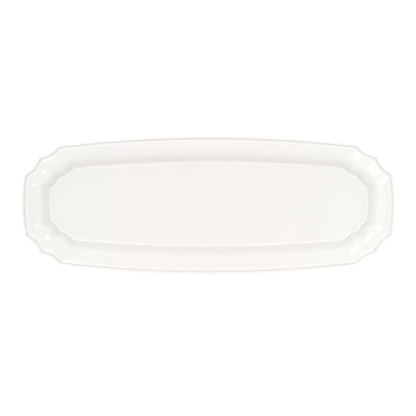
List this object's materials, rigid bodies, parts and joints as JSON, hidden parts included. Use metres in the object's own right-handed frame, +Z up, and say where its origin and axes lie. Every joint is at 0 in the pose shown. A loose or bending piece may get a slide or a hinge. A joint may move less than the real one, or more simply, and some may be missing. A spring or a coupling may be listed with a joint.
{
  "type": "china serving platter",
  "caption": "Long oblong white china serving platter: flat well, steep wall, sloping border with a beaded rim, bowed sides and double-scalloped corners, on a low foot ring.",
  "frame": {"origin": "on the table, under the middle of the platter", "axes": "+X along the platter's length, +Y across its width, +Z up out of the well"},
  "size_m": [0.457, 0.171, 0.03],
  "materials": {
    "glaze": "gloss",
    "porcelain": "matte",
    "bare_foot": "matte"
  },
  "bodies": {
    "root": {"porcelain_body": "porcelain", "foot_ring": "bare_foot", "glaze_coat": "glaze", "base_glaze": "glaze"}
  },
  "joints": []
}
